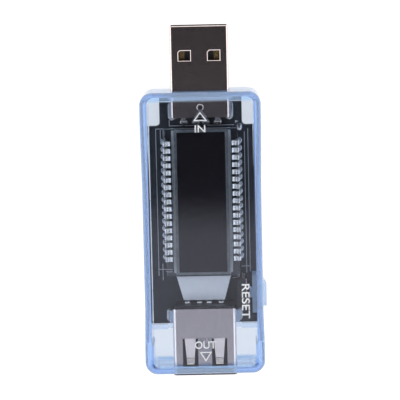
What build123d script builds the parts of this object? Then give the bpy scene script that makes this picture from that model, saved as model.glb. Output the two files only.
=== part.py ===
from build123d import *
import os

# USB in-line power meter: a clear two-shell case round one circuit board. The board carries a
# USB-A plug at one end, a USB-A receptacle at the other, a glass display on its backlight
# between them, and a push switch that a sprung button in the side wall works.
#
# Frame, in millimetres: X to the right, Y towards the plug's tip, Z towards the display.
# The origin is the centre of the case's back face, on which the meter rests.

# ---- driving dimensions -------------------------------------------------------------------

# Case
CASE_LENGTH = 58.5
CASE_END_WIDTH = 24.8
CASE_WAIST_WIDTH = 24.4
CASE_THICKNESS = 12.0
WAIST_TOP = 10.0
WAIST_BOTTOM = -16.0
FLARE_TOP = 22.5
FLARE_BOTTOM = -23.5
CORNER_RADIUS = 2.6
EDGE_RADIUS = 1.6
WAIST_BEND_RADIUS = 150.0
FACE_WALL = 1.2
SIDE_WALL = 1.35
PLUG_END_WALL = 1.15
RECEPTACLE_END_WALL = 1.4
CAVITY_CORNER_RADIUS = 1.3
PARTING_Z = 6.0
PARTING_GAP = 0.04
LIP_HEIGHT = 0.8
LIP_THICKNESS = 0.55
LIP_GAP = 0.05
NECK_TOP = -22.9
NECK_INSET = 0.3

# Circuit board
BOARD_BOTTOM = 3.0
BOARD_THICKNESS = 1.2
BOARD_TOP = BOARD_BOTTOM + BOARD_THICKNESS
BOARD_HALF_WIDTH = 10.7
BOARD_LOW_END = -19.6
BOARD_HIGH_END = 26.7
NOTCH_START = 21.8
NOTCH_HALF_WIDTH = 8.5
NOTCH_CORNER_RADIUS = 0.8
LEAD_END_Z = 2.2
SEAT_GAP = 0.05
LAYER_GAP = 0.015

# USB-A plug
PLUG_WIDTH = 12.0
PLUG_HEIGHT = 4.5
PLUG_LENGTH = 18.75
PLUG_REAR = 23.87
PLUG_BOTTOM = BOARD_TOP + SEAT_GAP
PLUG_SHEET = 0.3
PLUG_CORNER_RADIUS = 0.45
PLUG_WINDOW = (2.35, 1.95)
PLUG_WINDOW_CORNER = 0.32
PUNCHED_EDGE_RADIUS = 0.22
PLUG_WINDOW_X = 3.0
PLUG_WINDOW_FROM_TIP = 6.1
PLUG_DIMPLE_RADIUS = 0.5
PLUG_DIMPLE_FROM_REAR = 2.1
PLUG_LEG_LENGTH = 2.0
PLUG_TONGUE_THICKNESS = 1.9
PLUG_BLOCK_DEPTH = 9.1

# USB-A receptacle
RECEPTACLE_WIDTH = 13.1
RECEPTACLE_HEIGHT = 5.7
RECEPTACLE_REAR = -15.7
RECEPTACLE_MOUTH = -29.65
RECEPTACLE_BOTTOM = BOARD_TOP + SEAT_GAP
RECEPTACLE_SHEET = 0.3
RECEPTACLE_CORNER_RADIUS = 0.7
RECEPTACLE_TONGUE_WIDTH = 11.1
RECEPTACLE_TONGUE_THICKNESS = 1.84
RECEPTACLE_TONGUE_ABOVE_FLOOR = 2.4
RECEPTACLE_TONGUE_RECESS = 1.35
RECEPTACLE_BLOCK_BEVEL = 0.2

# Contacts of both connectors: outer pair carries power, inner pair carries data
CONTACT_X = {"vbus": -3.5, "data_minus": -1.0, "data_plus": 1.0, "ground": 3.5}
CONTACT_WIDTH = 1.0
CONTACT_SHEET = 0.25
CONTACT_TAIL_WIDTH = 0.6
CONTACT_BEND = 0.35
PLUG_TAIL_Y = 22.5
RECEPTACLE_TAIL_Y = -14.75

# Display
REAR_GLASS_HALF_WIDTH = 7.55
REAR_GLASS_Y = (-9.2, 21.65)
FRONT_GLASS_HALF_WIDTH = 5.55
FRONT_GLASS_Y = (-8.9, 21.45)
FRONT_FILM_HALF_WIDTH = 4.95
FRONT_FILM_Y = (-8.15, 20.8)
GLASS_THICKNESS = 1.1
GLASS_BEVEL = 0.07
FILM_THICKNESS = 0.15
DISPLAY_PIN_COUNT = 17
DISPLAY_PIN_PITCH = 1.5
DISPLAY_PIN_MIDDLE_Y = 6.5
DISPLAY_PIN_X = 7.72
DISPLAY_PIN_SHEET = 0.2
DISPLAY_CLIP_WIDTH = 0.95
DISPLAY_LEG_WIDTH = 0.45

# Backlight
REFLECTOR_THICKNESS = 0.1
GUIDE_THICKNESS = 2.0
GUIDE_HALF_WIDTH = 6.2
GUIDE_TOP_END = 20.9
GUIDE_TAPER_START = -7.3
GUIDE_LOW_END = -14.4
GUIDE_LOW_HALF_WIDTH = 4.25
GUIDE_MASK_END = -9.35
LAMP_Y = -12.9

# Reset switch and its button
SWITCH_Y = -13.0
SWITCH_AXIS_Z = 5.9
SWITCH_BODY_X = (6.9, 8.7)
SWITCH_LENGTH = 5.8
SWITCH_HEIGHT = 3.3
SWITCH_COVER_SHEET = 0.2
SWITCH_POCKET_RADIUS = 1.7
SWITCH_POCKET_FLOOR_X = 7.6
DOME_RIM = 1.5
DOME_RISE = 0.55
DOME_SHEET = 0.08
STEM_RADIUS = 1.0
STEM_CLEARANCE = 0.05
STEM_TIP_X = 9.45
BUTTON_TOUCH_GAP = 0.02
BUTTON_LENGTH = 5.5
BUTTON_HEIGHT = 3.1
BUTTON_PROUD = 0.75
BUTTON_GAP = 0.1
BUTTON_FLANGE_LENGTH = 8.4
BUTTON_FLANGE_THICKNESS = 0.75
BUTTON_NUB_LENGTH = 2.0
BUTTON_SLOPE = (0.65, 1.0)

# ---- values worked out from them ----------------------------------------------------------

CASE_END = CASE_LENGTH / 2
CAVITY_HALF_WIDTH = CASE_WAIST_WIDTH / 2 - SIDE_WALL
CAVITY_TOP_END = CASE_END - PLUG_END_WALL
CAVITY_LOW_END = -CASE_END + RECEPTACLE_END_WALL
PLUG_TIP = PLUG_REAR + PLUG_LENGTH
PLUG_TOP = PLUG_BOTTOM + PLUG_HEIGHT
PLUG_MIDDLE_Z = PLUG_BOTTOM + PLUG_HEIGHT / 2
PLUG_LEG_X = (PLUG_WIDTH - PLUG_SHEET) / 2
PLUG_LEG_Y = PLUG_REAR + PLUG_LEG_LENGTH / 2
PLUG_TONGUE_TOP = PLUG_BOTTOM + PLUG_SHEET + SEAT_GAP + PLUG_TONGUE_THICKNESS
RECEPTACLE_TOP = RECEPTACLE_BOTTOM + RECEPTACLE_HEIGHT
RECEPTACLE_MIDDLE_Z = RECEPTACLE_BOTTOM + RECEPTACLE_HEIGHT / 2
RECEPTACLE_LEG_X = RECEPTACLE_WIDTH / 2 + 0.65
RECEPTACLE_LEG_Y = -17.9
TONGUE_BOTTOM = RECEPTACLE_BOTTOM + RECEPTACLE_SHEET + RECEPTACLE_TONGUE_ABOVE_FLOOR
REFLECTOR_TOP = BOARD_TOP + REFLECTOR_THICKNESS
GUIDE_BOTTOM = REFLECTOR_TOP + LAYER_GAP
GUIDE_TOP = GUIDE_BOTTOM + GUIDE_THICKNESS
DIFFUSER_BOTTOM = GUIDE_TOP + LAYER_GAP
REAR_FILM_BOTTOM = DIFFUSER_BOTTOM + FILM_THICKNESS + LAYER_GAP
REAR_GLASS_BOTTOM = REAR_FILM_BOTTOM + FILM_THICKNESS + LAYER_GAP
FRONT_GLASS_BOTTOM = REAR_GLASS_BOTTOM + GLASS_THICKNESS + LAYER_GAP
FRONT_FILM_BOTTOM = FRONT_GLASS_BOTTOM + GLASS_THICKNESS + LAYER_GAP
SWITCH_COVER_FACE_X = SWITCH_BODY_X[1] + SWITCH_COVER_SHEET
BUTTON_NUB_X = STEM_TIP_X + BUTTON_TOUCH_GAP
BUTTON_FLANGE_X = CAVITY_HALF_WIDTH - BUTTON_GAP - BUTTON_FLANGE_THICKNESS
BUTTON_FACE_X = CASE_WAIST_WIDTH / 2 + BUTTON_PROUD


# ---- helpers ------------------------------------------------------------------------------

def block(x, y, z):
    """Box between the (low, high) limits along each axis."""
    limits = (x, y, z)
    size = [high - low for low, high in limits]
    middle = [(high + low) / 2 for low, high in limits]
    return Pos(*middle) * Box(*size)


def wide_block(half_width, y, z):
    """Box that is centred on X = 0."""
    return block((-half_width, half_width), y, z)


def centred(middle, size):
    """The (low, high) limits of a size centred on a place."""
    return (middle - size / 2, middle + size / 2)


def tube_section(width, height, radius, middle_z, y):
    """Prism along Y with a round-cornered section, centred on X = 0."""
    section = Plane.XZ * RectangleRounded(width, height, radius)
    return Pos(0, y[1], middle_z) * extrude(section, y[1] - y[0])


def cylinder_along_z(x, y, z, radius):
    """Cylinder upright on the board, between the two heights in z."""
    return Pos(x, y, (z[0] + z[1]) / 2) * Cylinder(radius, z[1] - z[0])


def cylinder_along_x(x, y, z, radius):
    """Cylinder lying along X, between the two places in x."""
    return Pos((x[0] + x[1]) / 2, y, z) * Rot(0, 90, 0) * Cylinder(radius, x[1] - x[0])


def bent_strip(plane, points, thickness, width, bend):
    """Folded sheet strip: its centre line lies in the plane, and its width is across it."""
    centre_line = FilletPolyline(*points, radius=bend) if len(points) > 2 else Line(*points)
    return extrude(plane * trace(centre_line, thickness), width / 2, both=True)


def mirrored(solid):
    """The same solid on the other side of X = 0."""
    return mirror(solid, about=Plane.YZ)


def single(shape):
    """The one solid of a boolean result."""
    solids = shape.solids()
    assert len(solids) == 1, f"{len(solids)} solids where one is meant"
    return solids[0]


# ---- case ---------------------------------------------------------------------------------

def case_outline():
    """Plan of the case: straight ends, a slightly narrower waist and round corners."""
    end = CASE_END_WIDTH / 2
    waist = CASE_WAIST_WIDTH / 2
    right = [
        (end, CASE_END),
        (end, FLARE_TOP),
        (waist, WAIST_TOP),
        (waist, WAIST_BOTTOM),
        (end, FLARE_BOTTOM),
        (end, -CASE_END),
    ]
    left = [(-x, y) for x, y in reversed(right)]
    face = make_face(Polyline(*right, *left, close=True))
    waist_corners = [v for v in face.vertices() if abs(v.Y) < CASE_END - 1]
    face = fillet(waist_corners, WAIST_BEND_RADIUS)
    end_corners = [v for v in face.vertices() if abs(v.Y) > CASE_END - 1]
    return fillet(end_corners, CORNER_RADIUS)


def cavity_outline(grow=0.0):
    """Plan of the hollow inside the case; grow moves it outwards, into the wall."""
    wide = CAVITY_HALF_WIDTH + grow
    narrow = wide - NECK_INSET
    top = CAVITY_TOP_END + grow
    low = CAVITY_LOW_END - grow
    right = [(wide, top), (wide, NECK_TOP), (narrow, NECK_TOP - NECK_INSET), (narrow, low)]
    left = [(-x, y) for x, y in reversed(right)]
    face = make_face(Polyline(*right, *left, close=True))
    corners = [v for v in face.vertices() if v.Y > top - 1 or v.Y < low + 1]
    return fillet(corners, CAVITY_CORNER_RADIUS + grow)


def prism(outline, z):
    """Outline extruded between two heights."""
    return Pos(0, 0, z[0]) * extrude(outline, z[1] - z[0])


def case_openings():
    """The gaps in the end walls and the side wall that the connectors and the button fill."""
    plug = tube_section(
        PLUG_WIDTH + 2 * SEAT_GAP,
        PLUG_HEIGHT + 2 * SEAT_GAP,
        PLUG_CORNER_RADIUS,
        PLUG_MIDDLE_Z,
        (CAVITY_TOP_END - 1, CASE_END + 1),
    )
    receptacle = tube_section(
        RECEPTACLE_WIDTH + 2 * SEAT_GAP,
        RECEPTACLE_HEIGHT + 2 * SEAT_GAP,
        RECEPTACLE_CORNER_RADIUS,
        RECEPTACLE_MIDDLE_Z,
        (-CASE_END - 1, CAVITY_LOW_END + 1),
    )
    button = block(
        (CAVITY_HALF_WIDTH - 1, CASE_END_WIDTH),
        centred(SWITCH_Y, BUTTON_LENGTH + 2 * BUTTON_GAP),
        centred(SWITCH_AXIS_Z, BUTTON_HEIGHT + 2 * BUTTON_GAP),
    )
    return plug + receptacle + button


def front_cover():
    """Clear shell over the display, with a rebate that takes the back cover's lip."""
    shell = prism(case_outline(), (PARTING_Z + PARTING_GAP, CASE_THICKNESS))
    shell = fillet(shell.faces().sort_by(Axis.Z)[-1].edges(), EDGE_RADIUS)
    shell -= prism(cavity_outline(), (PARTING_Z - 1, CASE_THICKNESS - FACE_WALL))
    rebate_top = PARTING_Z + LIP_HEIGHT + LIP_GAP
    shell -= prism(cavity_outline(LIP_THICKNESS + LIP_GAP), (PARTING_Z - 1, rebate_top))
    return single(shell - case_openings())


def board_supports():
    """Ledges under the board's long edges, its end stop, and the rib beside the receptacle."""
    inside = CAVITY_HALF_WIDTH + SIDE_WALL / 2
    supports = []
    for middle_y in (-15.0, 4.0, 18.0):
        ledge_z = (FACE_WALL / 2, BOARD_BOTTOM - LAYER_GAP)
        ledge = block((9.8, inside), centred(middle_y, 4.0), ledge_z)
        supports += [ledge, mirrored(ledge)]
    stop_y = (BOARD_HIGH_END + SEAT_GAP, CAVITY_TOP_END + PLUG_END_WALL / 2)
    supports.append(wide_block(4.0, stop_y, (FACE_WALL / 2, BOARD_TOP - SEAT_GAP)))
    rib_y = (BOARD_LOW_END - 1.1, BOARD_LOW_END - 0.1)
    supports.append(wide_block(inside, rib_y, (FACE_WALL / 2, BOARD_TOP - SEAT_GAP)))
    rib_end = block((7.7, inside), rib_y, (FACE_WALL / 2, PARTING_Z - LIP_HEIGHT))
    return supports + [rib_end, mirrored(rib_end)]


def back_cover():
    """Clear shell behind the board, with the lip that enters the front cover."""
    shell = prism(case_outline(), (0, PARTING_Z))
    shell = fillet(shell.faces().sort_by(Axis.Z)[0].edges(), EDGE_RADIUS)
    shell += prism(cavity_outline(LIP_THICKNESS), (PARTING_Z - 1, PARTING_Z + LIP_HEIGHT))
    shell -= prism(cavity_outline(), (FACE_WALL, CASE_THICKNESS))
    for support in board_supports():
        shell += support
    return single(shell - case_openings())


# ---- circuit board ------------------------------------------------------------------------

def display_pin_rows():
    """Y of each display pin, from the receptacle's end to the plug's."""
    half = (DISPLAY_PIN_COUNT - 1) / 2
    return [DISPLAY_PIN_MIDDLE_Y + (i - half) * DISPLAY_PIN_PITCH for i in range(DISPLAY_PIN_COUNT)]


LEAD_HOLE_RADIUS = 0.42
LAMP_LEAD_X = 1.27
PLUG_SLOT = (0.8, 3.0)
RECEPTACLE_SLOT = (0.8, 2.2)


def round_holes():
    """Centre of every round lead hole in the board."""
    centres = [(side * DISPLAY_PIN_X, y) for y in display_pin_rows() for side in (-1, 1)]
    centres += [(x, PLUG_TAIL_Y) for x in CONTACT_X.values()]
    centres += [(x, RECEPTACLE_TAIL_Y) for x in CONTACT_X.values()]
    centres += [(side * LAMP_LEAD_X, LAMP_Y) for side in (-1, 1)]
    return centres


def leg_slots():
    """Centre and size of every slot in the board that takes a connector shell's leg."""
    plug = [(side * PLUG_LEG_X, PLUG_LEG_Y, PLUG_SLOT) for side in (-1, 1)]
    receptacle = [
        (side * RECEPTACLE_LEG_X, RECEPTACLE_LEG_Y, RECEPTACLE_SLOT) for side in (-1, 1)
    ]
    return plug + receptacle


def slot_outline(x, y, size):
    """Slot with round ends, its long way along Y."""
    width, length = size
    return Pos(x, y) * Rot(0, 0, 90) * SlotOverall(length, width)


def circuit_board():
    """Board with a narrower neck under the plug and a hole for every lead."""
    right = [
        (BOARD_HALF_WIDTH, BOARD_LOW_END),
        (BOARD_HALF_WIDTH, NOTCH_START),
        (NOTCH_HALF_WIDTH, NOTCH_START),
        (NOTCH_HALF_WIDTH, BOARD_HIGH_END),
    ]
    left = [(-x, y) for x, y in reversed(right)]
    outline = make_face(Polyline(*right, *left, close=True))
    notch = [v for v in outline.vertices() if abs(v.Y - NOTCH_START) < 0.1]
    inner = [v for v in notch if abs(v.X) < BOARD_HALF_WIDTH - 1]
    outline = fillet(inner, NOTCH_CORNER_RADIUS)
    holes = [Pos(x, y) * Circle(LEAD_HOLE_RADIUS) for x, y in round_holes()]
    holes += [slot_outline(x, y, size) for x, y, size in leg_slots()]
    return single(prism(outline - Sketch(holes), (BOARD_BOTTOM, BOARD_TOP)))


# ---- USB-A plug ---------------------------------------------------------------------------

def plug_shell():
    """Folded steel shell with two windows in each broad face and a leg on each side."""
    y = (PLUG_REAR, PLUG_TIP)
    shell = tube_section(PLUG_WIDTH, PLUG_HEIGHT, PLUG_CORNER_RADIUS, PLUG_MIDDLE_Z, y)
    tip_edges = shell.faces().sort_by(Axis.Y)[-1].edges()
    shell = fillet(tip_edges, PLUG_SHEET * 0.8)
    shell -= tube_section(
        PLUG_WIDTH - 2 * PLUG_SHEET,
        PLUG_HEIGHT - 2 * PLUG_SHEET,
        PLUG_CORNER_RADIUS - PLUG_SHEET,
        PLUG_MIDDLE_Z,
        (PLUG_REAR - 1, PLUG_TIP + 1),
    )
    width, length = PLUG_WINDOW
    window = Rectangle(width, length)
    window = chamfer(window.vertices().group_by(Axis.X)[0].sort_by(Axis.Y)[-1], PLUG_WINDOW_CORNER)
    window_y = PLUG_TIP - PLUG_WINDOW_FROM_TIP
    for side in (-1, 1):
        hole = Pos(side * PLUG_WINDOW_X, window_y) * window
        shell -= prism(hole, (PLUG_BOTTOM - 1, PLUG_TOP + 1))
    dimple_y = PLUG_REAR + PLUG_DIMPLE_FROM_REAR
    dimple_z = (PLUG_TOP - 2 * PLUG_SHEET, PLUG_TOP + 1)
    shell -= cylinder_along_z(0, dimple_y, dimple_z, PLUG_DIMPLE_RADIUS)
    by_height = shell.faces().sort_by(Axis.Z)
    holes = by_height[0].inner_wires() + by_height[-1].inner_wires()
    shell = fillet([edge for wire in holes for edge in wire.edges()], PUNCHED_EDGE_RADIUS)
    leg_x = centred(PLUG_LEG_X, PLUG_SHEET)
    leg = block(leg_x, (PLUG_REAR, PLUG_REAR + PLUG_LEG_LENGTH), (LEAD_END_Z, PLUG_MIDDLE_Z))
    return single(shell + leg + mirrored(leg))


def plug_contact(x, tip_y):
    """Contact strip on the plug's tongue, folded down behind the shell through the board."""
    top = PLUG_TONGUE_TOP + SEAT_GAP
    centre_z = top - CONTACT_SHEET / 2
    plane = Plane.YZ.offset(x)
    strip = bent_strip(
        plane,
        [(tip_y, centre_z), (PLUG_TAIL_Y, centre_z), (PLUG_TAIL_Y, BOARD_TOP + 0.3)],
        CONTACT_SHEET,
        CONTACT_WIDTH,
        CONTACT_BEND,
    )
    tail = block(
        centred(x, CONTACT_TAIL_WIDTH),
        centred(PLUG_TAIL_Y, CONTACT_SHEET),
        (LEAD_END_Z, BOARD_TOP + 0.35),
    )
    return single(strip + tail)


def plug_contacts():
    """The four plug contacts by signal; the power pair reaches nearer the tip."""
    reach = {"vbus": 1.6, "ground": 1.6, "data_minus": 2.6, "data_plus": 2.6}
    return {name: plug_contact(x, PLUG_TIP - reach[name]) for name, x in CONTACT_X.items()}


def plug_insulator(contacts):
    """Plastic block inside the plug, and its tongue that carries the contacts."""
    half = PLUG_WIDTH / 2 - PLUG_SHEET - SEAT_GAP
    low = PLUG_BOTTOM + PLUG_SHEET + SEAT_GAP
    high = PLUG_TOP - PLUG_SHEET - SEAT_GAP
    rear = PLUG_REAR + 0.3
    body = wide_block(half, (rear, rear + PLUG_BLOCK_DEPTH), (low, high))
    body += wide_block(half, (rear, PLUG_TIP - 0.7), (low, PLUG_TONGUE_TOP))
    body = fillet(body.edges().filter_by(Axis.Y), 0.25)
    for contact in contacts.values():
        body -= contact
    return single(body)


# ---- USB-A receptacle ---------------------------------------------------------------------

LEAF_X = (1.42, 4.6)
LEAF_ROOT_Y = -21.9
LEAF_SLOT_END_Y = -27.75
LEAF_ROOT_EDGES = (1.83, 4.2)
LEAF_TIP_EDGES = (2.28, 3.72)
LEAF_SLOPE = ((-26.05, 0.45), (-27.2, -0.2))


def leaf_spring():
    """One leaf pressed out of the shell's broad face, narrowing and dipping to the mouth."""
    skin = RECEPTACLE_TOP - RECEPTACLE_SHEET / 2
    path = [(LEAF_ROOT_Y + 0.1, skin)] + [(y, skin - dip) for y, dip in LEAF_SLOPE]
    middle_x = sum(LEAF_X) / 2
    strip = bent_strip(Plane.YZ.offset(middle_x), path, RECEPTACLE_SHEET, LEAF_X[1] - LEAF_X[0], 0.4)
    outline = make_face(
        Polyline(
            (LEAF_ROOT_EDGES[0], LEAF_ROOT_Y + 0.2),
            (LEAF_TIP_EDGES[0], LEAF_SLOPE[-1][0] - 0.2),
            (LEAF_TIP_EDGES[1], LEAF_SLOPE[-1][0] - 0.2),
            (LEAF_ROOT_EDGES[1], LEAF_ROOT_Y + 0.2),
            close=True,
        )
    )
    return strip & prism(outline, (RECEPTACLE_BOTTOM, RECEPTACLE_TOP + 1))


def receptacle_shell():
    """Steel shell with two leaf springs in each broad face and a leg on each side."""
    y = (RECEPTACLE_MOUTH, RECEPTACLE_REAR)
    sheet = RECEPTACLE_SHEET
    radius = RECEPTACLE_CORNER_RADIUS
    shell = tube_section(RECEPTACLE_WIDTH, RECEPTACLE_HEIGHT, radius, RECEPTACLE_MIDDLE_Z, y)
    shell -= tube_section(
        RECEPTACLE_WIDTH - 2 * sheet,
        RECEPTACLE_HEIGHT - 2 * sheet,
        radius - sheet,
        RECEPTACLE_MIDDLE_Z,
        (RECEPTACLE_MOUTH - 1, RECEPTACLE_REAR + 1),
    )
    slot_y = (LEAF_SLOT_END_Y, LEAF_ROOT_Y)
    window = block(LEAF_X, slot_y, (RECEPTACLE_BOTTOM - 1, RECEPTACLE_TOP + 1))
    shell -= window
    shell -= mirrored(window)
    leaf = leaf_spring()
    half_height = Plane.XY.offset(RECEPTACLE_MIDDLE_Z)
    for spring in (leaf, mirror(leaf, about=half_height)):
        shell += spring
        shell += mirrored(spring)
    return single(shell + receptacle_leg() + mirrored(receptacle_leg()))


def receptacle_leg():
    """Leg bent out of the shell's side wall and down through the board."""
    wall_x = RECEPTACLE_WIDTH / 2 - RECEPTACLE_SHEET / 2
    path = [
        (wall_x, RECEPTACLE_MIDDLE_Z),
        (wall_x, 6.5),
        (RECEPTACLE_LEG_X, 5.75),
        (RECEPTACLE_LEG_X, BOARD_TOP + 0.15),
    ]
    plane = Plane((0, RECEPTACLE_LEG_Y, 0), x_dir=(1, 0, 0), z_dir=(0, -1, 0))
    upper = bent_strip(plane, path, RECEPTACLE_SHEET, 2.6, 0.3)
    tail = block(
        centred(RECEPTACLE_LEG_X, RECEPTACLE_SHEET),
        centred(RECEPTACLE_LEG_Y, 1.4),
        (LEAD_END_Z, BOARD_TOP + 0.3),
    )
    return upper + tail


def receptacle_contact(x):
    """Contact strip under the receptacle's tongue, folded down behind through the board."""
    centre_z = TONGUE_BOTTOM - SEAT_GAP + CONTACT_SHEET / 2
    front_y = RECEPTACLE_MOUTH + RECEPTACLE_TONGUE_RECESS + 0.7
    strip = bent_strip(
        Plane.YZ.offset(x),
        [(front_y, centre_z), (RECEPTACLE_TAIL_Y, centre_z), (RECEPTACLE_TAIL_Y, BOARD_TOP + 0.3)],
        CONTACT_SHEET,
        CONTACT_WIDTH,
        CONTACT_BEND,
    )
    tail = block(
        centred(x, CONTACT_TAIL_WIDTH),
        centred(RECEPTACLE_TAIL_Y, CONTACT_SHEET),
        (LEAD_END_Z, BOARD_TOP + 0.35),
    )
    return single(strip + tail)


def receptacle_contacts():
    """The four receptacle contacts by signal."""
    return {name: receptacle_contact(x) for name, x in CONTACT_X.items()}


def receptacle_insulator(contacts):
    """Plastic block at the receptacle's back, and its tongue that carries the contacts."""
    half = RECEPTACLE_WIDTH / 2 - RECEPTACLE_SHEET - SEAT_GAP
    low = RECEPTACLE_BOTTOM + RECEPTACLE_SHEET + SEAT_GAP
    high = RECEPTACLE_TOP - RECEPTACLE_SHEET - SEAT_GAP
    body = wide_block(half, (RECEPTACLE_REAR - 2.3, RECEPTACLE_REAR + 0.6), (low, high))
    tongue_y = (RECEPTACLE_MOUTH + RECEPTACLE_TONGUE_RECESS, RECEPTACLE_REAR)
    tongue_z = (TONGUE_BOTTOM, TONGUE_BOTTOM + RECEPTACLE_TONGUE_THICKNESS)
    tongue = wide_block(RECEPTACLE_TONGUE_WIDTH / 2, tongue_y, tongue_z)
    tip = tongue.faces().sort_by(Axis.Y)[0]
    tongue = chamfer(tip.edges().filter_by(Axis.X), 0.35)
    body = fillet(body.edges().filter_by(Axis.Y), 0.4)
    body = chamfer(body.faces().sort_by(Axis.Y)[-1].edges(), RECEPTACLE_BLOCK_BEVEL)
    body += tongue
    for contact in contacts.values():
        body -= contact
    return single(body)


# ---- display and backlight ----------------------------------------------------------------

def display_clip(y):
    """Pin of the display's right row: it grips the rear glass's ledge and enters the board."""
    x = DISPLAY_PIN_X
    glass_bottom = REAR_GLASS_BOTTOM
    glass_top = REAR_GLASS_BOTTOM + GLASS_THICKNESS
    sheet = DISPLAY_PIN_SHEET
    plane = Plane((0, y, 0), x_dir=(1, 0, 0), z_dir=(0, -1, 0))
    upper_path = [
        (x, glass_bottom - 0.3),
        (x, glass_top + 0.55),
        (x - 0.52, glass_top + 0.55),
        (x - 0.87, glass_top + LAYER_GAP + sheet / 2),
        (x - 1.4, glass_top + 0.42),
    ]
    upper = bent_strip(plane, upper_path, sheet, DISPLAY_CLIP_WIDTH, 0.13)
    lower_z = glass_bottom - LAYER_GAP - sheet / 2
    lower = bent_strip(plane, [(x, lower_z), (x - 0.9, lower_z)], sheet, DISPLAY_CLIP_WIDTH, 0.1)
    leg = block(
        centred(x, sheet),
        centred(y, DISPLAY_LEG_WIDTH),
        (LEAD_END_Z, glass_bottom - 0.25),
    )
    return single(upper + lower + leg)


def display_pins():
    """Both rows of display pins, left and right."""
    right = [display_clip(y) for y in display_pin_rows()]
    left = [single(mirrored(clip)) for clip in right]
    return left, right


def film(half_width, y, bottom):
    """Thin flat film of the display stack."""
    return wide_block(half_width, y, (bottom, bottom + FILM_THICKNESS))


def glass_plate(half_width, y, bottom):
    """Glass plate of the display, with its sharp edges broken."""
    plate = wide_block(half_width, y, (bottom, bottom + GLASS_THICKNESS))
    return single(chamfer(plate.edges(), GLASS_BEVEL))


def guide_outline(inset=0.0):
    """Plan of the light guide: a rectangle that tapers to the lamp's end."""
    wide = GUIDE_HALF_WIDTH - inset
    narrow = GUIDE_LOW_HALF_WIDTH - inset
    low = GUIDE_LOW_END + inset
    right = [(wide, GUIDE_TOP_END - inset), (wide, GUIDE_TAPER_START), (narrow, low)]
    left = [(-x, y) for x, y in reversed(right)]
    return make_face(Polyline(*right, *left, close=True))


def lamp_limits():
    """Limits of the lamp's body in the guide's pocket."""
    z = (GUIDE_BOTTOM, GUIDE_BOTTOM + 1.2)
    return centred(0, 3.4), centred(LAMP_Y, 1.3), z


def light_guide():
    """Clear block under the display, with a pocket for the lamp in its narrow end."""
    lamp_x, lamp_y, lamp_z = lamp_limits()
    pocket = block(
        (lamp_x[0] - 0.1, lamp_x[1] + 0.1),
        (lamp_y[0] - 0.1, lamp_y[1] + 0.1),
        (BOARD_TOP, lamp_z[1] + 0.1),
    )
    return single(prism(guide_outline(), (GUIDE_BOTTOM, GUIDE_TOP)) - pocket)


def backlight_reflector():
    """White sheet under the light guide, cut away round the lamp."""
    lamp_x, lamp_y, _ = lamp_limits()
    hole = Pos(0, LAMP_Y) * Rectangle(lamp_x[1] - lamp_x[0] + 0.2, lamp_y[1] - lamp_y[0] + 0.2)
    return single(prism(guide_outline(0.05) - hole, (BOARD_TOP, REFLECTOR_TOP)))


def backlight_cover_sheet():
    """White sheet over the guide's bare end, between the display and the receptacle."""
    keep = Pos(0, (GUIDE_LOW_END + GUIDE_MASK_END) / 2) * Rectangle(
        2 * GUIDE_HALF_WIDTH, GUIDE_MASK_END - GUIDE_LOW_END
    )
    return single(prism(guide_outline() & keep, (DIFFUSER_BOTTOM, DIFFUSER_BOTTOM + FILM_THICKNESS)))


def backlight_lamp():
    """Light-emitting diode in the guide's pocket, on two leads through the board."""
    x, y, z = lamp_limits()
    lamp = block(x, y, z)
    for side in (-1, 1):
        lead_x = centred(side * LAMP_LEAD_X, 0.4)
        lamp += block(lead_x, centred(LAMP_Y, 0.25), (LEAD_END_Z, z[0] + 0.1))
    return single(lamp)


def display_stack():
    """Glass plates, polarising films and the backlight's diffuser, by node name."""
    rear_film_y = (FRONT_FILM_Y[0] - 0.4, FRONT_FILM_Y[1] + 0.3)
    return {
        "backlight_diffuser": film(6.1, rear_film_y, DIFFUSER_BOTTOM),
        "lcd_rear_polarizer": film(5.5, rear_film_y, REAR_FILM_BOTTOM),
        "lcd_rear_glass": glass_plate(REAR_GLASS_HALF_WIDTH, REAR_GLASS_Y, REAR_GLASS_BOTTOM),
        "lcd_front_glass": glass_plate(FRONT_GLASS_HALF_WIDTH, FRONT_GLASS_Y, FRONT_GLASS_BOTTOM),
        "lcd_front_polarizer": film(FRONT_FILM_HALF_WIDTH, FRONT_FILM_Y, FRONT_FILM_BOTTOM),
    }


# ---- reset switch and button --------------------------------------------------------------

def switch_base():
    """Moulded body of the push switch, with the round pocket for its dome and plunger."""
    y = centred(SWITCH_Y, SWITCH_LENGTH)
    base = block(SWITCH_BODY_X, y, (PLUG_BOTTOM, PLUG_BOTTOM + SWITCH_HEIGHT))
    pocket_x = (SWITCH_POCKET_FLOOR_X, SWITCH_BODY_X[1] + 1)
    return single(base - cylinder_along_x(pocket_x, SWITCH_Y, SWITCH_AXIS_Z, SWITCH_POCKET_RADIUS))


def switch_cover():
    """Sheet plate that closes the switch, with the stem's hole and two clips round the body."""
    x = (SWITCH_BODY_X[1], SWITCH_COVER_FACE_X)
    z = (PLUG_BOTTOM, PLUG_BOTTOM + SWITCH_HEIGHT)
    cover = block(x, centred(SWITCH_Y, SWITCH_LENGTH + 2 * SWITCH_COVER_SHEET), z)
    for side in (-1, 1):
        clip_y = SWITCH_Y + side * (SWITCH_LENGTH + SWITCH_COVER_SHEET) / 2
        cover += block(
            (SWITCH_BODY_X[1] - 1.1, x[1]),
            centred(clip_y, SWITCH_COVER_SHEET),
            centred(SWITCH_AXIS_Z, 1.2),
        )
    hole_x = (x[0] - 1, x[1] + 1)
    hole = cylinder_along_x(hole_x, SWITCH_Y, SWITCH_AXIS_Z, STEM_RADIUS + STEM_CLEARANCE)
    return single(cover - hole)


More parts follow.
